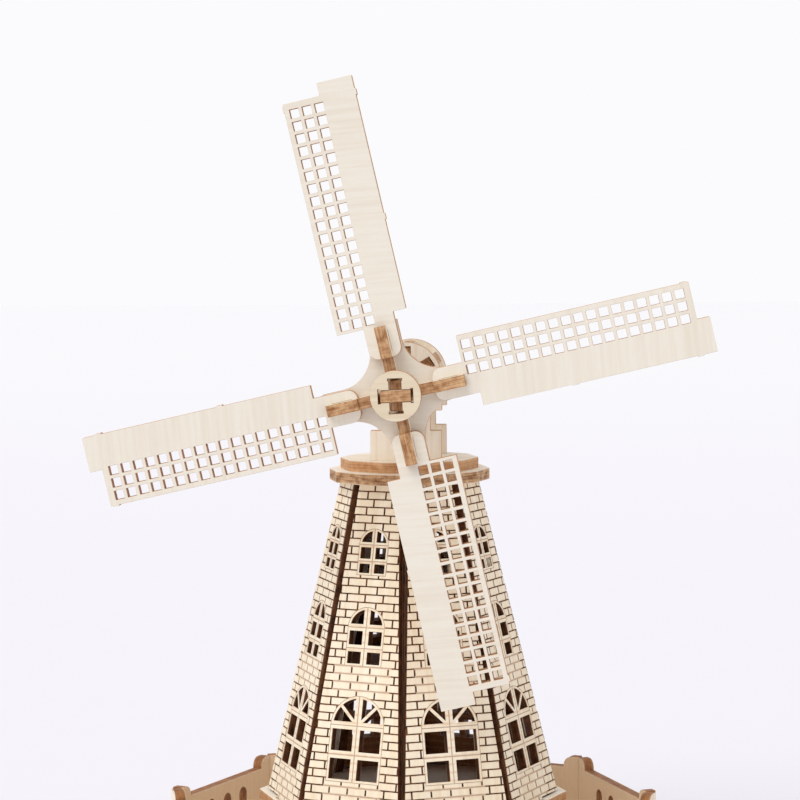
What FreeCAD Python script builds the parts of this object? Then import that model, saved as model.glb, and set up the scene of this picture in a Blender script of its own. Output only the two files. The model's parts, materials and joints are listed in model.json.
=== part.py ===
"""Laser-cut plywood windmill puzzle: octagonal brick tower, cap with bearing frame, turning sails.

Frame: +Z up, the sails face -Y, the origin is the centre of the deck's underside. Units are mm.
Every piece is flat plywood, square-cut, and is held by tabs, slots and halving joints.
"""
import FreeCAD
import Part
import math
import os

Vector = FreeCAD.Vector

# ---- driving dimensions --------------------------------------------------------------------
ply = 3.0                    # sheet of the frame, cap, hub, sails and fence
wall_ply = 2.5               # thinner sheet of the tower's brick walls
slack = 0.05                 # clearance on each side of a tab in its slot
tab_short = 0.1              # how far a tab stops short of the far face of its slot
over = 1.0                   # how far a cut runs past each face of the sheet
sides = 8

plinth_height = 21.0
deck_apothem = 64.4
plinth_apothem = 36.5
flange_apothem = 39.0
fence_apothem = 61.9
fence_height = 24.0

tower_height = 85.6          # flange top to cap underside
tower_top_apothem = 17.75
taper = 0.2264               # apothem lost per mm of height
head_gap = 0.35              # extra clearance at each side of a wall's head
former_heights = (33.5, 56.5)   # undersides of the two inner floors, above the flange
rib_depth = 5.0

lower_cap_radius, lower_cap_sides = 21.8, 12
upper_cap_radius, upper_cap_sides = 18.8, 10

axis_above_cap = 19.4        # windshaft axis above the cap's top face
bearing_spacing = 22.0       # between the middles of the two bearing uprights
shaft_width = 7.8            # width of each crossed strip of the windshaft
running_gap = 0.07           # radial clearance of the strips' corners in the bearings
sail_front = 42.5            # from the tower's axis to the front face of the sails
sail_turn = 12.7             # rest angle of the sails, anticlockwise from the front
shaft_turn = 2.3             # rest angle of the crossed strips
disc_radius = 6.5

# Windows: height of the sill along the wall, width, springing and transom above the sill, border,
# bar, and the width of the two slanted rays that make the large window's arch a fan, if any.
windows = (
    dict(sill=9.0, width=15.5, springing=14.7, transom=7.0, border=0.55, bar=2.0, ray=0.8),
    dict(sill=39.5, width=10.6, springing=10.1, transom=4.6, border=0.5, bar=1.8, ray=0.0),
    dict(sill=63.6, width=8.4, springing=8.0, transom=3.6, border=0.45, bar=1.35, ray=0.0),
)

# Sail outline: distances from the shaft (along) and from the sail's middle line (side).
sail_tip, lattice_tip = 81.9, 78.6
solid_foot, lattice_foot = 21.1, 18.2
solid_edge, lattice_edge = -7.4, 11.4
tip_step = 1.7
root_start, root_low, root_high, root_corner = 9.9, -4.0, 4.4, 2.4
hole, hole_pitch = 2.4, 3.27
hole_rows, hole_columns = 18, 3
tip_margin, edge_margin = 1.65, 1.3
nib = (1.6, 0.3)             # length and height of the break-off nibs left on the edges
solid_nibs, lattice_nibs = (45.2, 77.6), (77.2,)

# Keys that pin each sail to the star plate.
key_end, key_tab = 18.1, (11.5, 16.5)
key_over_star, key_over_sail = 3.5, 3.0
key_shaft_gap = 0.6          # between a key's inner end and the shaft strips

# ---- heights and depths that follow --------------------------------------------------------
plinth_top = ply + plinth_height
flange_top = plinth_top + ply
cap_bottom = flange_top + tower_height
cap_middle = cap_bottom + ply
cap_top = cap_middle + ply
shaft_height = cap_top + axis_above_cap
foot_apothem = tower_top_apothem + taper * tower_height
lean = math.atan(taper)
wall_level = wall_ply / math.cos(lean)          # wall thickness measured horizontally
half_side = math.tan(math.pi / sides)           # half a side's length per unit of apothem
corner = 1.0 / math.cos(math.pi / sides)        # corner radius per unit of apothem
half_turn = 180.0 / sides                       # from the middle of a side to its corner, degrees
star_front = sail_front - ply
disc_front = star_front + key_over_star + ply
bearing_front = bearing_spacing / 2 + ply / 2
collar_gap = 0.4
shaft_back = bearing_front + collar_gap + ply
shaft_middle = (shaft_back - disc_front) / 2    # where the two strips' halving slots meet


# ---- sheet helpers -------------------------------------------------------------------------
def block(x0, x1, y0, y1, z0, z1):
    """A block between two planes on each axis."""
    return Part.makeBox(x1 - x0, y1 - y0, z1 - z0, Vector(x0, y0, z0))


def sheet(points, thickness=ply):
    """A polygon cut from sheet: its front face is at Z = 0 and its back below."""
    wire = Part.makePolygon([Vector(x, y, 0) for x, y in points + points[:1]])
    return Part.Face(wire).extrude(Vector(0, 0, -thickness))


def disc(radius, thickness=ply, x=0.0, y=0.0):
    """A round sheet with its front face at Z = 0."""
    return Part.makeCylinder(radius, thickness, Vector(x, y, -thickness))


def opening(x0, x1, y0, y1, thickness=ply):
    """A cutter for a rectangular opening right through a sheet."""
    return block(x0, x1, y0, y1, -thickness - over, over)


def round_opening(radius, x=0.0, y=0.0, thickness=ply):
    """A cutter for a round opening right through a sheet."""
    return Part.makeCylinder(radius, thickness + 2 * over, Vector(x, y, -thickness - over))


def regular(radius, count, turn=0.0):
    """A regular polygon of sheet, with one corner at the given angle."""
    turns = [turn + 2 * math.pi * k / count for k in range(count)]
    return sheet([(radius * math.cos(t), radius * math.sin(t)) for t in turns])


def stand(shape, origin, across, up):
    """Set a sheet up: its X runs across, its Y runs up, and it faces along across x up."""
    face = across.cross(up)
    matrix = FreeCAD.Matrix(across.x, up.x, face.x, origin.x,
                            across.y, up.y, face.y, origin.y,
                            across.z, up.z, face.z, origin.z,
                            0, 0, 0, 1)
    piece = shape.copy()
    piece.Placement = FreeCAD.Placement(matrix).multiply(piece.Placement)
    return piece


def turned(shape, degrees):
    """Turn a copy about the tower's axis."""
    piece = shape.copy()
    piece.rotate(Vector(0, 0, 0), Vector(0, 0, 1), degrees)
    return piece


def side_turn(k):
    """Direction of side k of the octagon, anticlockwise from the side at the front left."""
    return -90 - half_turn + 2 * half_turn * k


def wall(shape, apothem, z, slope=0.0):
    """Stand a sheet as a wall of the side on +X, leaning inwards by the slope."""
    up = Vector(-math.sin(slope), 0, math.cos(slope))
    return stand(shape, Vector(apothem, 0, z), Vector(0, 1, 0), up)


def slotted(plate, z, inner, outer, places, half):
    """Cut a through slot at each place along each side of a plate whose top is at z."""
    for k in range(sides):
        for place in places:
            slot = block(inner, outer, place - half - slack, place + half + slack, z - ply - over, z + over)
            plate = plate.cut(turned(slot, side_turn(k)))
    return plate


def laid(shape, z):
    """Lay a sheet flat with its top at z."""
    piece = shape.copy()
    piece.translate(Vector(0, 0, z))
    return piece


def on_hub(shape, front, degrees):
    """Stand a sheet square to the windshaft, facing -Y, turned anticlockwise from the front."""
    t = math.radians(degrees)
    across = Vector(math.cos(t), 0, math.sin(t))
    up = Vector(-math.sin(t), 0, math.cos(t))
    return stand(shape, Vector(0, -front, shaft_height), across, up)


def cross_slot(length, width):
    """The crossed opening that takes both strips of the windshaft."""
    flat = opening(-length / 2, length / 2, -width / 2, width / 2)
    tall = opening(-width / 2, width / 2, -length / 2, length / 2)
    return flat.fuse(tall)


# ---- foot: deck, plinth, flange and fence --------------------------------------------------
plinth_tabs, plinth_tab_half = (-9.0, 9.0), 2.5
fence_tabs, fence_tab_half = (-15.0, 15.0), 4.0
wall_foot_tab_half, wall_head_tab_half = 4.0, 2.5


def deck():
    """Ground plate, slotted for the plinth walls and the fence."""
    plate = laid(regular(deck_apothem * corner, sides), ply)
    plate = slotted(plate, ply, plinth_apothem - ply - slack, plinth_apothem + slack,
                    plinth_tabs, plinth_tab_half)
    return slotted(plate, ply, fence_apothem - ply - slack, fence_apothem + slack,
                   fence_tabs, fence_tab_half)


def flange():
    """Plate that carries the tower, with the plinth's tabs below and the walls' tabs above."""
    plate = laid(regular(flange_apothem * corner, sides), flange_top)
    plate = slotted(plate, flange_top, plinth_apothem - ply - slack, plinth_apothem + slack,
                    plinth_tabs, plinth_tab_half)
    return slotted(plate, flange_top, foot_apothem - wall_level - slack,
                   foot_apothem + taper * ply + slack, (0.0,), wall_foot_tab_half)


def tab(middle, half, y0, y1, thickness=ply):
    """A tab of sheet between two heights."""
    return block(middle - half, middle + half, y0, y1, -thickness, 0)


def plinth_wall(k):
    """Straight wall below the flange."""
    half = (plinth_apothem - ply) * half_side - slack
    panel = sheet([(-half, 0), (half, 0), (half, plinth_height), (-half, plinth_height)])
    reach = ply - tab_short
    for place in plinth_tabs:
        panel = panel.fuse(tab(place, plinth_tab_half, -reach, plinth_height + reach))
    return turned(wall(panel.removeSplitter(), plinth_apothem, ply), side_turn(k))


def fence_panel(k):
    """Parapet with raised round-shouldered end posts and three arched slots."""
    half = (fence_apothem - ply) * half_side - slack
    post_width, post_rise, shoulder = 4.6, 3.0, 2.6
    rail = fence_height - post_rise
    panel = sheet([(-half, 0), (half, 0), (half, rail), (-half, rail)])
    for side in (-1, 1):
        inner = side * (half - post_width)
        post = block(min(inner, side * half), max(inner, side * half), 0, fence_height, -ply, 0)
        notch = block(min(inner, inner + side * shoulder), max(inner, inner + side * shoulder),
                      fence_height - shoulder, fence_height, -ply, 0)
        round_part = disc(shoulder, ply, inner + side * shoulder, fence_height - shoulder)
        panel = panel.fuse(post.cut(notch.cut(round_part)))
    slot_half, slot_pitch, slot_foot, slot_head = 2.2, 8.75, 5.0, rail - 3.2
    springing = slot_head - slot_half
    for place in (-slot_pitch, 0, slot_pitch):
        panel = panel.cut(opening(place - slot_half, place + slot_half, slot_foot, springing))
        panel = panel.cut(round_opening(slot_half, place, springing))
    for place in fence_tabs:
        panel = panel.fuse(tab(place, fence_tab_half, -ply + tab_short, 0))
    return turned(wall(panel.removeSplitter(), fence_apothem, ply), side_turn(k))


# ---- tower ---------------------------------------------------------------------------------
def window_panes(sill, width, springing, transom, border, bar, ray):
    """The through openings of one window: an arch over two rows of two panes."""
    radius = width / 2 - border
    panes = opening(-radius, radius, border, springing, wall_ply)
    panes = panes.fuse(round_opening(radius, 0, springing, wall_ply))
    bars = [opening(-bar / 2, bar / 2, 0, springing + width, wall_ply)]
    bars += [opening(-width, width, y - bar / 2, y + bar / 2, wall_ply) for y in (transom, springing)]
    if ray:
        for angle in (45, 135):
            slanted = opening(0, width, -ray / 2, ray / 2, wall_ply)
            slanted.rotate(Vector(0, 0, 0), Vector(0, 0, 1), angle)
            slanted.translate(Vector(0, springing, 0))
            bars.append(slanted)
    for piece in bars:
        panes = panes.cut(piece)
    panes.translate(Vector(0, sill, 0))
    return panes


def tower_wall(k):
    """Leaning brick wall with three windows, tabbed into the flange and the cap."""
    inset = wall_level * half_side + slack
    foot, head = wall_ply * taper, tower_height / math.cos(lean)
    foot_half = foot_apothem * half_side - inset
    head_half = tower_top_apothem * half_side - inset - head_gap
    panel = sheet([(-foot_half, foot), (foot_half, foot), (head_half, head), (-head_half, head)],
                  wall_ply)
    foot_reach = foot - (ply - tab_short) / math.cos(lean) + wall_ply * taper
    head_reach = head + (ply - tab_short) / math.cos(lean)
    panel = panel.fuse(tab(0, wall_foot_tab_half, foot_reach, foot, wall_ply))
    panel = panel.fuse(tab(0, wall_head_tab_half, head, head_reach, wall_ply))
    for window in windows:
        panel = panel.cut(window_panes(**window))
    return turned(wall(panel.removeSplitter(), foot_apothem, flange_top, lean), side_turn(k))


def inner_corner(height):
    """Radius of the outer edge of a corner rib, just inside the walls, above the flange."""
    apothem = foot_apothem - taper * height - wall_level
    return apothem * corner - ply / 2 * half_side - 2 * slack


def corner_rib(k):
    """Fin behind the gap between two walls, notched from inside for the floors."""
    foot, head = inner_corner(0), inner_corner(tower_height)
    fin = sheet([(foot - rib_depth, 0), (foot, 0),
                 (head, tower_height), (head - rib_depth, tower_height)])
    fin.translate(Vector(0, 0, ply / 2))
    for height in former_heights:
        middle = inner_corner(height + ply / 2) - rib_depth / 2
        fin = fin.cut(block(0, middle, height - slack, height + ply + slack, -ply, ply))
    piece = stand(fin, Vector(0, 0, flange_top), Vector(1, 0, 0), Vector(0, 0, 1))
    return turned(piece, side_turn(k) + half_turn)


def floor(height):
    """Octagonal former inside the tower, notched at its corners for the ribs."""
    apothem = foot_apothem - taper * (height + ply) - wall_level - 2 * slack
    plate = laid(regular(apothem * corner, sides), flange_top + height + ply)
    middle = inner_corner(height + ply / 2) - rib_depth / 2
    notch = block(middle, apothem * 2, -ply / 2 - slack, ply / 2 + slack,
                  flange_top + height - over, flange_top + height + ply + over)
    for k in range(sides):
        plate = plate.cut(turned(notch, side_turn(k) + half_turn))
    return plate


# ---- cap and bearing frame -----------------------------------------------------------------
bearing_tabs, bearing_tab_half = (-6.0, 6.0), 1.6
head_radius, head_centre, head_foot = 9.7, 2.6, -6.0      # relative to the shaft's axis
neck_half, base_half, shoulder_level = 6.6, 9.5, -11.3
tie_angles = (90, 33, 147)
tie_slot = (5.7, 8.6)                                      # radial reach from the head's centre
tie_tab = (6.0, 8.3)
tie_body = (4.9, 9.1)
tie_recess = 1.2                                           # tab end below the upright's face


def lower_cap():
    """Twelve-sided plate that locks the heads of the eight walls."""
    plate = laid(regular(lower_cap_radius, lower_cap_sides, math.pi / 2), cap_middle)
    inner = tower_top_apothem - taper * ply - wall_level - slack
    return slotted(plate, cap_middle, inner, tower_top_apothem + slack, (0.0,), wall_head_tab_half)


def upper_cap():
    """Ten-sided plate on top, slotted for the two bearing uprights."""
    plate = laid(regular(upper_cap_radius, upper_cap_sides), cap_top)
    for middle in (-bearing_spacing / 2, bearing_spacing / 2):
        for place in bearing_tabs:
            reach = bearing_tab_half + slack
            slot = block(place - reach, place + reach,
                         middle - ply / 2 - slack, middle + ply / 2 + slack,
                         cap_middle - over, cap_top + over)
            plate = plate.cut(slot)
    return plate


def tie_block(reach, half, angle, front, back):
    """A bar parallel to the shaft, at an angle about the head's centre."""
    bar = block(reach[0], reach[1], -half, half, -back, -front)
    bar.rotate(Vector(0, 0, 0), Vector(0, 0, 1), angle)
    bar.translate(Vector(0, head_centre, 0))
    return bar


def bearing_upright(front):
    """Tombstone head on a neck and a wide base, with a round hole for the windshaft."""
    base_level = -axis_above_cap
    plate = sheet([(-base_half, base_level), (base_half, base_level), (base_half, shoulder_level),
                   (neck_half, shoulder_level), (neck_half, head_foot), (head_radius, head_foot),
                   (head_radius, head_centre), (-head_radius, head_centre), (-head_radius, head_foot),
                   (-neck_half, head_foot), (-neck_half, shoulder_level), (-base_half, shoulder_level)])
    plate = plate.fuse(disc(head_radius, ply, 0, head_centre))
    plate = plate.cut(round_opening(math.hypot(shaft_width / 2, ply / 2) + running_gap))
    for angle in tie_angles:
        plate = plate.cut(tie_block(tie_slot, ply / 2 + slack, angle, -over, ply + over))
    for place in bearing_tabs:
        plate = plate.fuse(tab(place, bearing_tab_half, base_level - ply + tab_short, base_level))
    return on_hub(plate.removeSplitter(), front, 0)


def tie_bar(angle):
    """Strip that holds the two heads apart, with a thinner tab through each."""
    half = ply / 2 - slack
    bar = tie_block(tie_body, half, angle, ply, bearing_spacing)
    bar = bar.fuse(tie_block(tie_tab, half, angle, tie_recess, bearing_spacing + ply - tie_recess))
    return on_hub(bar.removeSplitter(), bearing_front, 0)


# ---- windshaft, hub and sails --------------------------------------------------------------
def shaft_strip(front, slot_from, slot_to, degrees):
    """Long strip of the windshaft with half of a halving joint, drawn along its length."""
    strip = block(-shaft_width / 2, shaft_width / 2, -ply / 2, ply / 2, -shaft_back - front, 0)
    half = ply / 2 + slack
    strip = strip.cut(block(-half, half, -ply, ply, -slot_to - front, -slot_from - front))
    return on_hub(strip, front, degrees)


def shaft_flat():
    """Strip whose end shows flush in the disc; it is slotted from the back."""
    return shaft_strip(disc_front, shaft_middle, shaft_back + over, shaft_turn)


def shaft_tall():
    """Strip set back in the disc, square to the first; it is slotted from the front."""
    recess = 2.2
    return shaft_strip(disc_front - recess, -disc_front - over, shaft_middle, shaft_turn + 90)


def hub_disc():
    """Front disc with a loose crossed slot that is a little wider at its four ends."""
    length, width, end_width, end_depth = 9.1, 3.3, 3.8, 0.7
    slot = cross_slot(length, width)
    for end in (-1, 1):
        edge, inner = end * length / 2, end * (length / 2 - end_depth)
        low, high = min(edge, inner), max(edge, inner)
        slot = slot.fuse(opening(low, high, -end_width / 2, end_width / 2))
        slot = slot.fuse(opening(-end_width / 2, end_width / 2, low, high))
    return on_hub(disc(disc_radius).cut(slot), disc_front, shaft_turn)


def collar(front):
    """Disc that keeps the windshaft from sliding through its bearings."""
    return on_hub(disc(disc_radius).cut(cross_slot(shaft_width + 2 * slack, ply + 2 * slack)),
                  front, shaft_turn)


def key_mortise():
    """Opening along +X that takes one key's tab."""
    return opening(key_tab[0] - slack, key_tab[1] + slack, -ply / 2 - slack, ply / 2 + slack)


def star_plate():
    """Four-armed plate behind the sails, with round hollows between the arms."""
    arm_half, arm_end, hollow = 4.2, 19.0, 9.8
    centre = arm_half + hollow
    plate = block(-centre, centre, -centre, centre, -ply, 0)
    plate = plate.fuse(block(-arm_end, arm_end, -arm_half, arm_half, -ply, 0))
    plate = plate.fuse(block(-arm_half, arm_half, -arm_end, arm_end, -ply, 0))
    for x in (-centre, centre):
        for y in (-centre, centre):
            plate = plate.cut(round_opening(hollow, x, y))
    slot = cross_slot(shaft_width + 2 * slack, ply + 2 * slack)
    slot.rotate(Vector(0, 0, 0), Vector(0, 0, 1), shaft_turn - sail_turn)
    plate = plate.cut(slot)
    for angle in (0, 90, 180, 270):
        mortise = key_mortise()
        mortise.rotate(Vector(0, 0, 0), Vector(0, 0, 1), angle)
        plate = plate.cut(mortise)
    return on_hub(plate.removeSplitter(), star_front, sail_turn)


def sail(k):
    """Blade with a solid board on one side, a lattice of square holes on the other, and a root."""
    points = [(root_start, root_low), (solid_foot, root_low), (solid_foot, solid_edge)]
    for place in solid_nibs:
        points += nib_points(place, solid_edge, -1, 1)
    points += [(sail_tip, solid_edge), (sail_tip, tip_step), (lattice_tip, tip_step),
               (lattice_tip, lattice_edge)]
    for place in lattice_nibs:
        points += nib_points(place, lattice_edge, 1, -1)
    points += [(lattice_foot, lattice_edge), (lattice_foot, root_high), (root_start, root_high)]
    blade = sheet(points)
    near = 1e-6
    root_edges = [edge for edge in blade.Edges
                  if all(abs(v.X - root_start) < near for v in edge.Vertexes)
                  and abs(edge.Vertexes[0].Y - edge.Vertexes[1].Y) < near]
    blade = blade.makeFillet(root_corner, root_edges)
    holes = []
    for row in range(hole_rows):
        start = lattice_tip - tip_margin - hole - row * hole_pitch
        for column in range(hole_columns):
            side = lattice_edge - edge_margin - hole - column * hole_pitch
            holes.append(opening(start, start + hole, side, side + hole))
    blade = blade.cut(holes + [key_mortise()])
    return on_hub(blade, sail_front, sail_turn + 90 * k)


def nib_points(place, edge, outward, along):
    """Corners of one break-off nib on an edge of a sail."""
    length, height = nib
    near, far = place - along * length / 2, place + along * length / 2
    return [(near, edge), (near, edge + outward * height), (far, edge + outward * height), (far, edge)]


def key(k):
    """Stepped key on edge: over the star near the hub, over the sail's root, and a tab through both."""
    step = root_start
    inner_end = shaft_width / 2 + key_shaft_gap
    low = 2 * ply
    top_star, top_sail = low + key_over_star - ply, low + key_over_sail
    outline = [(inner_end, ply), (step - slack, ply), (step - slack, low), (key_tab[0], low),
               (key_tab[0], 0), (key_tab[1], 0), (key_tab[1], low), (key_end, low),
               (key_end, top_sail), (step, top_sail), (step, top_star), (inner_end, top_star)]
    profile = sheet(outline)
    profile.translate(Vector(0, 0, ply / 2))
    t = math.radians(sail_turn + 90 * k)
    back = star_front - ply
    return stand(profile, Vector(0, -back, shaft_height),
                 Vector(math.cos(t), 0, math.sin(t)), Vector(0, -1, 0))


# ---- the assembly --------------------------------------------------------------------------
def all_pieces():
    """Every piece by its node name."""
    pieces = {"deck": deck(), "flange": flange()}
    for k in range(sides):
        pieces["plinth_wall_%d" % (k + 1)] = plinth_wall(k)
        pieces["fence_panel_%d" % (k + 1)] = fence_panel(k)
        pieces["tower_wall_%d" % (k + 1)] = tower_wall(k)
        pieces["corner_rib_%d" % (k + 1)] = corner_rib(k)
    for name, height in zip(("lower_floor", "upper_floor"), former_heights):
        pieces[name] = floor(height)
    pieces["lower_cap"] = lower_cap()
    pieces["upper_cap"] = upper_cap()
    pieces["front_bearing"] = bearing_upright(bearing_front)
    pieces["rear_bearing"] = bearing_upright(ply - bearing_front)
    for name, angle in zip(("top_tie", "right_tie", "left_tie"), tie_angles):
        pieces[name] = tie_bar(angle)
    pieces["shaft_flat_strip"] = shaft_flat()
    pieces["shaft_tall_strip"] = shaft_tall()
    pieces["front_collar"] = collar(bearing_front + collar_gap + ply)
    pieces["rear_collar"] = collar(-bearing_front - collar_gap)
    pieces["hub_disc"] = hub_disc()
    pieces["star_plate"] = star_plate()
    for k, name in enumerate(("right", "upper", "left", "lower")):
        pieces["%s_sail" % name] = sail(k)
        pieces["%s_key" % name] = key(k)
    return pieces


os.makedirs("parts", exist_ok=True)
for node, shape in all_pieces().items():
    shape.exportStep("parts/%s.step" % node)
    print("%-18s solids %d valid %s volume %9.2f" % (node, len(shape.Solids), shape.isValid(), shape.Volume))
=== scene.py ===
import json
import math

import bmesh
import bpy
from mathutils import Matrix, Vector


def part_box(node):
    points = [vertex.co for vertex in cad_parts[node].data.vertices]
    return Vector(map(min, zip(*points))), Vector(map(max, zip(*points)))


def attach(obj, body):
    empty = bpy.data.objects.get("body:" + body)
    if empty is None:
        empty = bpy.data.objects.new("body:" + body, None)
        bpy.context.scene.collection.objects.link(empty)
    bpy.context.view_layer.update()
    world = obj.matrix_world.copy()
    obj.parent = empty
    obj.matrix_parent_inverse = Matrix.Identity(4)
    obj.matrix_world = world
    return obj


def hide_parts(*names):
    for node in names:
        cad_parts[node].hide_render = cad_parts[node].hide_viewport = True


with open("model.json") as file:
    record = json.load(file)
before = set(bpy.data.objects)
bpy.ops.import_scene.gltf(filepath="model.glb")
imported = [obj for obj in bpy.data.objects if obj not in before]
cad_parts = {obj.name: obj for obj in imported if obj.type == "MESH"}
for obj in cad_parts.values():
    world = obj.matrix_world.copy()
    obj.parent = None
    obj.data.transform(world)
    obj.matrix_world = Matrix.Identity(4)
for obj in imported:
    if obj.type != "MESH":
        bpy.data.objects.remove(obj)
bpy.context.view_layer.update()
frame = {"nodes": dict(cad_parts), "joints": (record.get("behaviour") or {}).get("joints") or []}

# ---- sizes of the engraving, in metres -------------------------------------------------------
MM = 0.001
SIDES = 8
COURSE = 2.114 * MM              # height of a brick course, along the wall
TOP_JOINT = 85.85 * MM           # height of a tower wall's highest bed joint
BRICK = 5.38 * MM                # brick length
COURSE_SHIFTS = (0.584, 0.214)   # where the upright joints of odd and even courses fall, in bricks
BED_JOINT = 0.34 * MM            # width of the engraved lines between courses
HEAD_JOINT = 0.5 * MM            # width of the upright engraved lines
GROOVE_DEPTH = 0.3 * MM
FAINT_DEPTH = 0.12 * MM          # depth of the lightly burnt lines
FRAME_GROOVE = 0.18 * MM         # the line burnt round each window frame
CENTRE_LINE = 0.26 * MM          # the line burnt along a window's bars
FAINT_HALF = 8.5 * MM            # half the width of the stretches whose bed joints are lightly burnt
FAINT_SPANS = ((0.0, 9.6 * MM), (31.5 * MM, 39.8 * MM))     # and their heights on a tower wall

# Windows of a tower wall: sill above the foot line, width, springing and transom above the sill.
WINDOWS = (
    dict(sill=9.0 * MM, width=15.5 * MM, springing=14.7 * MM, transom=7.0 * MM),
    dict(sill=39.5 * MM, width=10.6 * MM, springing=10.1 * MM, transom=4.6 * MM),
    dict(sill=63.6 * MM, width=8.4 * MM, springing=8.0 * MM, transom=3.6 * MM),
)
ARCH_STEPS = 24
EDGE_BEVEL = 0.12 * MM
BRICK_BEVEL = 0.05 * MM
BEVEL_ANGLE = math.radians(40)   # edges sharper than this are softened
WELD_DISTANCE = 1e-6
OVER = 1 * MM                    # how far a cutter runs past what it cuts
BELOW, ABOVE = -2 * GROOVE_DEPTH, 2 * OVER      # reach of what shields a wall's face from cutting


# ---- colours ---------------------------------------------------------------------------------
def srgb(red, green, blue):
    """A display colour as linear values with full alpha."""
    values = [c / 255 for c in (red, green, blue)]
    return tuple(c / 12.92 if c < 0.04045 else ((c + 0.055) / 1.055) ** 2.4 for c in values) + (1.0,)


PALE = srgb(246, 237, 220)       # face veneer between its growth streaks
STREAK = srgb(234, 219, 197)     # face veneer's streaks
TOP_LIT_BRICK_VENEER = srgb(252, 240, 216), srgb(243, 225, 194)     # the brick walls' faces: a warmer veneer, made brighter as painted light from above
SAIL_VENEER = srgb(234, 227, 213), srgb(227, 218, 201)      # the greyer faces of the sails and star
DISC_VENEER = srgb(226, 212, 186), srgb(214, 196, 166)      # the yellower face of the hub disc
BACK = srgb(238, 214, 184)       # darker, browner tone given to the back faces of the fences
LIGHT_BURN_AND_SHADE = srgb(156, 98, 64)       # brown of a light burn; also painted shade on the floors and the wall backs inside the tower
TAN = srgb(220, 174, 128)        # lightly browned cut edge
BROWN = srgb(176, 124, 80)       # well browned cut edge
DEEP_TAN = srgb(222, 182, 136)   # the same for the keys, ties and shaft strips
DEEP_BROWN = srgb(146, 96, 56)
SCORCH_AND_SHADE = srgb(128, 80, 46)       # lighter stretches of a burnt line; also painted shade on the darkest cut edges and the floors inside the tower
CHAR_AND_SHADE = srgb(58, 28, 12)          # burnt line; also painted shade on the cut edges of the walls and the corner ribs


# ---- materials -------------------------------------------------------------------------------
class Graph:
    """A material's node tree, built by short calls. A value is a number, a tuple or a node's output."""

    def __init__(self, name):
        self.material = bpy.data.materials.new(name)
        self.material.use_nodes = True
        self.tree = self.material.node_tree
        self.tree.nodes.clear()

    def add(self, kind, output, values, **settings):
        node = self.tree.nodes.new(kind)
        for key, value in settings.items():
            setattr(node, key, value)
        for key, value in values.items():
            if isinstance(value, bpy.types.NodeSocket):
                self.tree.links.new(value, node.inputs[key])
            else:
                node.inputs[key].default_value = value
        return node.outputs[output]

    def math(self, operation, a, b=0.0):
        return self.add("ShaderNodeMath", 0, {0: a, 1: b}, operation=operation)

    def plus(self, a, b):
        return self.math("ADD", a, b)

    def minus(self, a, b):
        return self.math("SUBTRACT", a, b)

    def times(self, a, b):
        return self.math("MULTIPLY", a, b)

    def gap(self, a, b):
        """Distance between two values."""
        return self.math("ABSOLUTE", self.minus(a, b))

    def along(self, vector, direction):
        """Length of a vector along a direction."""
        return self.add("ShaderNodeVectorMath", "Value", {0: vector, 1: tuple(direction)},
                        operation="DOT_PRODUCT")

    def step(self, value, low, high):
        """0 below low, 1 above high, smooth in between; falls where low is above high."""
        rising = low <= high
        ends = {"From Min": min(low, high), "From Max": max(low, high),
                "To Min": 0.0 if rising else 1.0, "To Max": 1.0 if rising else 0.0}
        return self.add("ShaderNodeMapRange", "Result", {"Value": value, **ends},
                        interpolation_type="SMOOTHSTEP")

    def mix(self, share, a, b):
        """Colour a, changing to colour b as share goes from 0 to 1."""
        return self.add("ShaderNodeMix", 2, {0: share, 6: a, 7: b}, data_type="RGBA")

    def noise(self, place, stretch, seed, detail=2.0):
        """Noise over a place in millimetres, with its frequency along each axis."""
        scaled = self.add("ShaderNodeVectorMath", 0, {0: place, 1: stretch}, operation="MULTIPLY")
        moved = self.add("ShaderNodeVectorMath", 0, {0: scaled, 1: (seed, 1.7 * seed, 2.3 * seed)},
                         operation="ADD")
        return self.add("ShaderNodeTexNoise", "Fac", {"Vector": moved, "Scale": 1.0, "Detail": detail})

    def finish(self, colour, roughness, height, bump):
        normal = self.add("ShaderNodeBump", 0, {"Height": height, "Strength": bump,
                                                "Distance": 0.05 * MM})
        surface = self.add("ShaderNodeBsdfPrincipled", 0, {
            "Base Color": colour, "Roughness": roughness, "Normal": normal,
            "Specular IOR Level": 0.25})
        output = self.tree.nodes.new("ShaderNodeOutputMaterial")
        self.tree.links.new(surface, output.inputs["Surface"])
        return self.material


def face_veneer(g, place, seed, veneers):
    """Colour of the face veneer, and the fibres that also roughen it."""
    pale, streaked = veneers
    broad = g.noise(place, (0.02, 0.10, 0.1), seed)
    streak = g.noise(place, (0.035, 0.75, 0.1), seed + 5, 3.0)
    fibre = g.noise(place, (0.25, 4.5, 0.1), seed + 9, 2.0)
    pore = g.noise(place, (0.5, 6.0, 0.1), seed + 13, 1.0)
    tone = g.plus(g.times(broad, 0.35), g.times(streak, 0.65))
    veneer = g.mix(g.step(tone, 0.38, 0.68), pale, streaked)
    veneer = g.mix(g.times(g.step(fibre, 0.45, 0.75), 0.25), veneer, streaked)
    return g.mix(g.times(g.step(pore, 0.66, 0.78), 0.22), veneer, TAN), fibre


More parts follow.
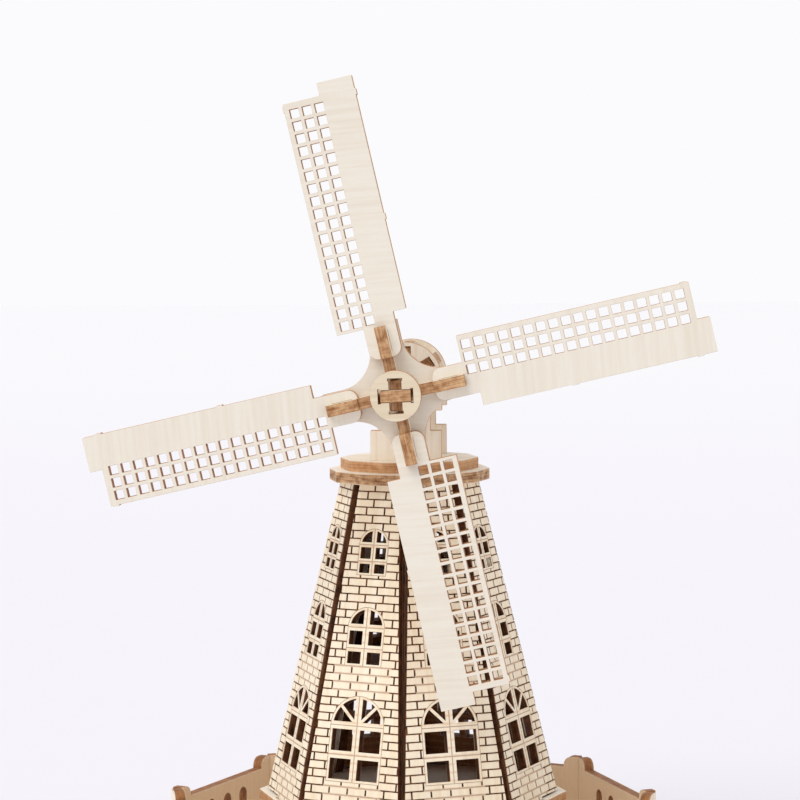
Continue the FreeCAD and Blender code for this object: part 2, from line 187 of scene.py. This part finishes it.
def cut_edge(g, place, depth, seed, edge, rim):
    """Colour of the laser-browned plies, darker where the edge colours also paint shade, and their
    striations. depth goes from 0 at the back to 1.
    """
    from_middle = g.gap(depth, 0.5)
    blotch = g.noise(place, (0.45, 0.45, 0.6), seed + 17, 3.0)
    striation = g.noise(place, (2.2, 2.2, 0.5), seed + 23, 2.0)
    ply_streak = g.noise(place, (0.16, 0.16, 2.6), seed + 29, 2.0)
    burn = g.plus(g.times(blotch, 0.5), g.times(striation, 0.15))
    burn = g.plus(burn, g.times(ply_streak, 0.35))
    middle_ply = g.step(from_middle, 0.24, 0.14)
    burn = g.plus(g.step(burn, 0.3, 0.7), g.times(middle_ply, 0.12))
    cut = g.mix(burn, *edge)
    glue_line = g.step(g.gap(from_middle, 1 / 6), 0.045, 0.01)
    cut = g.mix(g.times(glue_line, 0.22), cut, CHAR_AND_SHADE)
    return g.mix(g.times(g.step(from_middle, 0.40, 0.49), 0.45), cut, rim), striation


def engraving(g, place, up, below, seed, pale, face, cut):
    """Face and edge colours of an engraved wall: burnt grooves, and scorch along the bed joints.

    up is the height along the wall and below the depth under its face, both in millimetres.
    """
    groove, faint = GROOVE_DEPTH / MM, FAINT_DEPTH / MM
    course = g.math("FRACT", g.math("DIVIDE", g.minus(up, TOP_JOINT / MM), COURSE / MM))
    near_joint = g.step(g.gap(course, 0.5), 0.22, 0.46)
    smoke = g.step(g.noise(place, (0.5, 0.5, 0.3), seed + 37, 2.0), 0.3, 0.7)
    face = g.mix(g.times(near_joint, g.plus(g.times(smoke, 0.4), 0.1)), face, TAN)

    unevenness = g.step(g.noise(place, (0.9, 0.9, 0.3), seed + 31, 2.0), 0.35, 0.65)
    deep = g.mix(unevenness, CHAR_AND_SHADE, SCORCH_AND_SHADE)
    light_burn = g.mix(0.55, pale, LIGHT_BURN_AND_SHADE)
    burnt = g.mix(g.step(below, faint + 0.03, groove - 0.08), light_burn, deep)
    in_groove = g.step(below, groove + 0.06, groove + 0.02)
    face = g.mix(g.times(g.step(below, 0.03, faint - 0.03), in_groove), face, burnt)
    cut = g.mix(g.times(g.step(below, 0.02, 0.1), in_groove), cut, burnt)
    return face, cut


def plywood(name, normal, grain, low, high, seed, edge=(TAN, BROWN), veneers=(PALE, STREAK),
            back=PALE, rim=PALE, engraved=False):
    """Plywood with pale veneer on its faces and laser-browned plies on its cut edges; the colours given for
    some pieces darken these as painted shade.

    normal points out of the sheet's face and grain along its fibres; low and high are where the
    sheet's back and face lie along the normal. An engraved face is charred below its surface.
    """
    g = Graph(name)
    across = normal.cross(grain).normalized()
    position = g.add("ShaderNodeTexCoord", "Object", {})
    in_mm = g.add("ShaderNodeVectorMath", 0, {0: position, 3: 1 / MM}, operation="SCALE")
    u, v, w = (g.along(in_mm, axis) for axis in (grain, across, normal))
    place = g.add("ShaderNodeCombineXYZ", 0, {0: u, 1: v, 2: w})

    veneer, fibre = face_veneer(g, place, seed, veneers)
    rough_back = g.mix(g.step(fibre, 0.3, 0.7), back, g.mix(0.25, back, TAN))
    facing = g.along(g.add("ShaderNodeTexCoord", "Normal", {}), normal)
    face = g.mix(g.step(facing, -0.2, 0.2), rough_back, veneer)

    depth = g.math("DIVIDE", g.minus(w, low / MM), (high - low) / MM)
    cut, striation = cut_edge(g, place, depth, seed, edge, rim)
    if engraved:
        below = g.minus(high / MM, w)
        face, cut = engraving(g, place, u, below, seed, veneers[0], face, cut)

    is_face = g.step(g.math("ABSOLUTE", facing), 0.80, 0.93)
    roughness = g.plus(g.times(fibre, 0.12), 0.55)
    height = g.plus(g.times(fibre, 0.5), g.times(striation, 0.5))
    return g.finish(g.mix(is_face, cut, face), roughness, height, 0.25)


def sheet_normal(mesh):
    """Unit normal of the sheet a piece is cut from: the direction most of its area faces."""
    totals = []
    for polygon in mesh.polygons:
        for entry in totals:
            if abs(entry[0].dot(polygon.normal)) > 0.999:
                entry[1] += polygon.area
                break
        else:
            totals.append([polygon.normal.copy(), polygon.area])
    return max(totals, key=lambda entry: entry[1])[0]


def extent(mesh, direction):
    """Least and greatest distance of a mesh along a direction."""
    reach = [vertex.co.dot(direction) for vertex in mesh.vertices]
    return min(reach), max(reach)


def finish_node(name, normal, grain, seed, **finish):
    """Give a CAD node softened edges and its own plywood, facing along normal."""
    node = frame["nodes"][name]
    low, high = extent(node.data, normal)
    material = plywood(name + "_wood", normal, grain, low, high, seed, **finish)
    node.material_slots[0].link = "OBJECT"
    node.material_slots[0].material = material
    weld = node.modifiers.new("weld", "WELD")
    weld.merge_threshold = WELD_DISTANCE
    bevel = node.modifiers.new("soft_edges", "BEVEL")
    bevel.width = EDGE_BEVEL
    bevel.segments = 2
    bevel.limit_method = "ANGLE"
    bevel.angle_limit = BEVEL_ANGLE
    bevel.harden_normals = True


# ---- engraved brick walls ---------------------------------------------------------------------
def prism(outline, low, high):
    """A closed mesh between two heights over an outline, which runs anticlockwise."""
    made = bmesh.new()
    bottom = [made.verts.new((x, y, low)) for x, y in outline]
    top = [made.verts.new((x, y, high)) for x, y in outline]
    made.faces.new(list(reversed(bottom)))
    made.faces.new(top)
    for k in range(len(outline)):
        after = (k + 1) % len(outline)
        made.faces.new((bottom[k], bottom[after], top[after], top[k]))
    return made


def solid(name, meshes):
    """One object made of several bmesh prisms."""
    joined = bpy.data.meshes.new(name)
    whole = bmesh.new()
    for part in meshes:
        part.to_mesh(joined)
        whole.from_mesh(joined)
        part.free()
    whole.to_mesh(joined)
    whole.free()
    made = bpy.data.objects.new(name, joined)
    bpy.context.scene.collection.objects.link(made)
    return made


def cut(target, tool, operation="DIFFERENCE"):
    """Apply an exact boolean, a cut unless told otherwise, to target and remove the tool."""
    change = target.modifiers.new("cut", "BOOLEAN")
    change.operation, change.object, change.solver = operation, tool, "EXACT"
    graph = bpy.context.evaluated_depsgraph_get()
    result = bpy.data.meshes.new_from_object(target.evaluated_get(graph))
    target.modifiers.clear()
    target.data = result
    bpy.data.objects.remove(tool)
    return target


def rectangle(x0, x1, y0, y1):
    return [(x0, y0), (x1, y0), (x1, y1), (x0, y1)]


def arch(sill, width, springing, margin=0.0, **_):
    """Outline of a window: straight sides under a half circle, grown by a margin."""
    radius = width / 2 + margin
    angles = [math.pi * k / ARCH_STEPS for k in range(ARCH_STEPS + 1)]
    head = [(radius * math.cos(a), sill + springing + radius * math.sin(a)) for a in angles]
    return [(-radius, sill - margin), (radius, sill - margin)] + head


def bricks(width, foot, head):
    """Outlines of the bricks of a wall, in courses that break joint by a part of a brick."""
    found = []
    half_bed, half_head = BED_JOINT / 2, HEAD_JOINT / 2
    below = math.ceil((TOP_JOINT - foot) / COURSE)
    above = math.ceil(max(head - TOP_JOINT, 0) / COURSE)
    across = math.ceil(width / BRICK) + 1
    for course in range(-below, above):
        shift = COURSE_SHIFTS[(course + 1) % 2]
        y = TOP_JOINT + course * COURSE
        for k in range(-across, across + 1):
            x = (k - shift) * BRICK
            found.append(rectangle(x + half_head, x + BRICK - half_head, y + half_bed, y + COURSE - half_bed))
    return found


def faint_fill():
    """Outlines of the lightly burnt bed joints."""
    found = []
    for low, high in FAINT_SPANS:
        first = math.ceil((low - TOP_JOINT) / COURSE)
        last = math.floor((high - TOP_JOINT) / COURSE)
        for course in range(first, last + 1):
            y = TOP_JOINT + course * COURSE
            found.append(rectangle(-FAINT_HALF, FAINT_HALF, y - BED_JOINT, y + BED_JOINT))
    return found


def local_frame(name):
    """A wall's own frame: x across, y up the wall, z out of its face, from the middle of its foot."""
    mesh = frame["nodes"][name].data
    out = sheet_normal(mesh)
    low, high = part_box(name)
    if out.dot((low + high) / 2) < 0:
        out = -out
    across = Vector((0, 0, 1)).cross(out).normalized()
    up = out.cross(across)
    middle = Vector((out.x, out.y, 0)).normalized()
    face = extent(mesh, out)[1]
    flange_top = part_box("flange")[1].z if name.startswith("tower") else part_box("deck")[1].z
    reach = (face - out.z * flange_top) / out.dot(middle)
    origin = middle * reach + Vector((0, 0, flange_top))
    return Matrix((across, up, out)).transposed().to_4x4(), origin


def window_frames(windows):
    """The windows' raised frames, parted by the lines along the middle of their bars."""
    half = CENTRE_LINE / 2
    frames = solid("frames", [prism(arch(**w), BELOW, ABOVE) for w in windows])
    uprights, levels = [], []
    for w in windows:
        top = w["sill"] + w["springing"] + w["width"] / 2 + OVER
        uprights.append(prism(rectangle(-half, half, w["sill"] - OVER, top), -OVER, 3 * OVER))
        for level in (w["transom"], w["springing"]):
            y = w["sill"] + level
            levels.append(prism(rectangle(-w["width"], w["width"], y - half, y + half), -OVER, 3 * OVER))
    cut(frames, solid("uprights", uprights))
    return cut(frames, solid("levels", levels))


def engraved_wall(name, windows):
    """The wall's own solid with the joints between its bricks cut into its face."""
    turn, origin = local_frame(name)
    to_local = (Matrix.Translation(origin) @ turn).inverted()
    mesh = frame["nodes"][name].data.copy()
    mesh.transform(to_local)
    made = bmesh.new()
    made.from_mesh(mesh)
    bmesh.ops.remove_doubles(made, verts=made.verts, dist=WELD_DISTANCE)
    bmesh.ops.dissolve_limit(made, angle_limit=math.radians(1), verts=made.verts, edges=made.edges)
    wall = solid(name + "_bricks", [made])
    xs = [vertex.co.x for vertex in wall.data.vertices]
    width, head = max(xs) - min(xs), max(vertex.co.y for vertex in wall.data.vertices)

    # What stands proud: the bricks clear of the windows, and the window frames.
    proud = solid("proud", [prism(b, BELOW, ABOVE) for b in bricks(width, 0, head)])
    slab = solid("slab", [prism(rectangle(-width, width, -3 * OVER, head + OVER), -GROOVE_DEPTH, OVER)])
    if windows:
        outlines = [arch(margin=FRAME_GROOVE, **w) for w in windows]
        cut(proud, solid("around", [prism(outline, -OVER, 3 * OVER) for outline in outlines]))
        cut(proud, window_frames(windows), "UNION")
    cut(slab, proud)
    if windows:
        fill = solid("fill", [prism(outline, BELOW, -FAINT_DEPTH) for outline in outlines])
        cut(fill, solid("strips", [prism(b, BELOW, -FAINT_DEPTH) for b in faint_fill()]), "UNION")
        cut(slab, fill)
    cut(wall, slab)
    soften = wall.modifiers.new("soft_edges", "BEVEL")
    soften.width, soften.segments = BRICK_BEVEL, 1
    soften.limit_method, soften.angle_limit = "ANGLE", BEVEL_ANGLE
    return wall


def brick_walls(kind, windows, seed):
    """Engraved walls for the eight sides, each standing for the plain wall of its side."""
    template = engraved_wall(kind + "_1", windows)
    y, z = Vector((0, 1, 0)), Vector((0, 0, 1))
    low, high = extent(template.data, z)
    for k in range(SIDES):
        name = "%s_%d" % (kind, k + 1)
        wall = template
        if k:
            wall = template.copy()
            bpy.context.scene.collection.objects.link(wall)
        wall.name = name + "_bricks"
        turn, origin = local_frame(name)
        wall.matrix_world = Matrix.Translation(origin) @ turn
        # painted shade: the walls' cut edges and window reveals are darkened beyond their burn, and their
        # inner faces, seen through the windows, are dark brown
        material = plywood(wall.name, z, y, low, high, seed + 3 * k, edge=(SCORCH_AND_SHADE, CHAR_AND_SHADE),
                           veneers=TOP_LIT_BRICK_VENEER, back=LIGHT_BURN_AND_SHADE, engraved=True)
        if not wall.material_slots:
            wall.data.materials.append(None)
        wall.material_slots[0].link = "OBJECT"
        wall.material_slots[0].material = material
        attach(wall, "mill")
        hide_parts(name)


# ---- finishes of the pieces that keep their shape --------------------------------------------
def long_axis(mesh, normal):
    """Direction in the sheet's plane along which a piece is longest."""
    side = normal.orthogonal().normalized()
    other = normal.cross(side)
    turns = [side * math.cos(t) + other * math.sin(t)
             for t in (math.radians(d) for d in range(0, 180, 2))]
    return max(turns, key=lambda d: extent(mesh, d)[1] - extent(mesh, d)[0])


def outward(name, normal):
    """The sense of a sheet's normal that counts as its face side."""
    low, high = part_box(name)
    middle = (low + high) / 2
    if abs(normal.y) > 0.99:
        return normal * math.copysign(1, -normal.y)
    if abs(normal.z) > 0.99:
        return normal * math.copysign(1, normal.z)
    radial = Vector((middle.x, middle.y, 0))
    return normal if normal.dot(radial) >= 0 else -normal


def finish_all():
    """Every kept CAD node gets its plywood, with its grain the way the sheet was laid."""
    seed_step = 7.3
    for index, name in enumerate(sorted(frame["nodes"])):
        if name.startswith(("tower_wall", "plinth_wall")):
            continue
        mesh = frame["nodes"][name].data
        normal = outward(name, sheet_normal(mesh))
        finish = {}
        grain = Vector((1, 0, 0))
        if name.endswith("_sail"):
            grain, finish = normal.cross(long_axis(mesh, normal)), dict(veneers=SAIL_VENEER)
        elif name.endswith(("_key", "_strip", "_tie")):
            grain, finish = long_axis(mesh, normal), dict(edge=(DEEP_TAN, DEEP_BROWN), rim=DEEP_BROWN)
        elif name == "star_plate":
            finish = dict(veneers=SAIL_VENEER)
        elif name.endswith("_floor"):
            # painted shade: the floors inside the tower are dark brown in place of pale veneer
            finish = dict(veneers=(LIGHT_BURN_AND_SHADE, SCORCH_AND_SHADE), back=LIGHT_BURN_AND_SHADE)
        elif name == "hub_disc":
            finish = dict(veneers=DISC_VENEER)
        elif name == "lower_cap":
            finish = dict(edge=(DEEP_TAN, SCORCH_AND_SHADE))
        elif name.startswith("fence"):
            # the fences' cut edges: browned, and darkened further as painted shade
            grain, finish = Vector((0, 0, 1)), dict(back=BACK, edge=(BROWN, SCORCH_AND_SHADE))
        elif name.startswith("corner_rib"):
            # painted shade: the ribs, seen in the gaps between the walls, get near-black cut edges and rims
            grain, finish = Vector((0, 0, 1)), dict(edge=(SCORCH_AND_SHADE, CHAR_AND_SHADE), rim=CHAR_AND_SHADE)
        elif name.endswith("_bearing"):
            grain = Vector((0, 0, 1))
        finish_node(name, normal, grain, seed_step * index, **finish)


# ---- floor, light and camera -----------------------------------------------------------------
def floor():
    """Wide pale floor that brightens into the distance, to meet the surroundings."""
    half_width, near_end, far_end = 6.0, 0.2, 3.0
    made = bmesh.new()
    bmesh.ops.create_grid(made, x_segments=1, y_segments=1, size=half_width)
    mesh = bpy.data.meshes.new("floor")
    made.to_mesh(mesh)
    made.free()
    ground = bpy.data.objects.new("floor", mesh)
    bpy.context.scene.collection.objects.link(ground)
    g = Graph("floor_paper")
    position = g.add("ShaderNodeTexCoord", "Object", {})
    mottle = g.add("ShaderNodeTexNoise", "Fac", {"Vector": position, "Scale": 30.0})
    away = g.step(g.along(position, (0, 1, 0)), near_end, far_end)
    near = g.mix(mottle, srgb(240, 238, 243), srgb(239, 237, 243))
    colour = g.mix(away, near, srgb(243, 243, 245))
    mesh.materials.append(g.finish(colour, 0.9, mottle, 0.0))


def light():
    """Even white surroundings, seen brighter than they shine, and a very soft lamp from the front left."""
    seen_strength, glow_strength = 1.0, 0.80
    world = bpy.data.worlds.new("studio")
    world.use_nodes = True
    nodes, links = world.node_tree.nodes, world.node_tree.links
    nodes.clear()
    seen = nodes.new("ShaderNodeBackground")
    seen.inputs["Color"].default_value = srgb(251, 251, 253)
    seen.inputs["Strength"].default_value = seen_strength
    glow = nodes.new("ShaderNodeBackground")
    glow.inputs["Color"].default_value = srgb(252, 252, 255)
    glow.inputs["Strength"].default_value = glow_strength
    path = nodes.new("ShaderNodeLightPath")
    both = nodes.new("ShaderNodeMixShader")
    links.new(path.outputs["Is Camera Ray"], both.inputs[0])
    links.new(glow.outputs[0], both.inputs[1])
    links.new(seen.outputs[0], both.inputs[2])
    output = nodes.new("ShaderNodeOutputWorld")
    links.new(both.outputs[0], output.inputs["Surface"])
    bpy.context.scene.world = world

    lamp = bpy.data.lights.new("softbox", "SUN")
    lamp.energy = 1.25
    lamp.angle = math.radians(40)
    lamp.color = (1.0, 0.985, 0.96)
    holder = bpy.data.objects.new("softbox", lamp)
    towards = Vector((0.42, 0.58, -0.80))
    holder.rotation_euler = towards.to_track_quat("-Z", "Y").to_euler()
    bpy.context.scene.collection.objects.link(holder)


def camera():
    """Long lens from the front, a little right of centre and just above the hub, looking slightly down."""
    distance, swing, rise = 0.700, 0.0735, 40.7 * MM
    yaw, pitch, roll = 0.0034, -0.0636, -0.0091
    hub = frame["joints"][0]["pos_m"]
    ahead = Vector((-math.sin(swing + yaw) * math.cos(pitch),
                    math.cos(swing + yaw) * math.cos(pitch), math.sin(pitch)))
    right = ahead.cross(Vector((0, 0, 1))).normalized()
    above = right.cross(ahead)
    tilted = right * math.cos(roll) + above * math.sin(roll)
    upright = above * math.cos(roll) - right * math.sin(roll)
    data = bpy.data.cameras.new("camera")
    data.lens = 116.17
    data.clip_start, data.clip_end = 0.05, 30
    view = bpy.data.objects.new("camera", data)
    place = Vector((distance * math.sin(swing), -distance * math.cos(swing), hub[2] + rise))
    view.matrix_world = (Matrix.Translation(place)
                         @ Matrix((tilted, upright, -ahead)).transposed().to_4x4())
    bpy.context.scene.collection.objects.link(view)
    bpy.context.scene.camera = view


# ---- the model -------------------------------------------------------------------------------
camera()
light()
floor()
finish_all()
brick_walls("tower_wall", WINDOWS, 100)
brick_walls("plinth_wall", (), 200)
bpy.context.scene.view_settings.view_transform = "Standard"

bpy.context.view_layer.update()
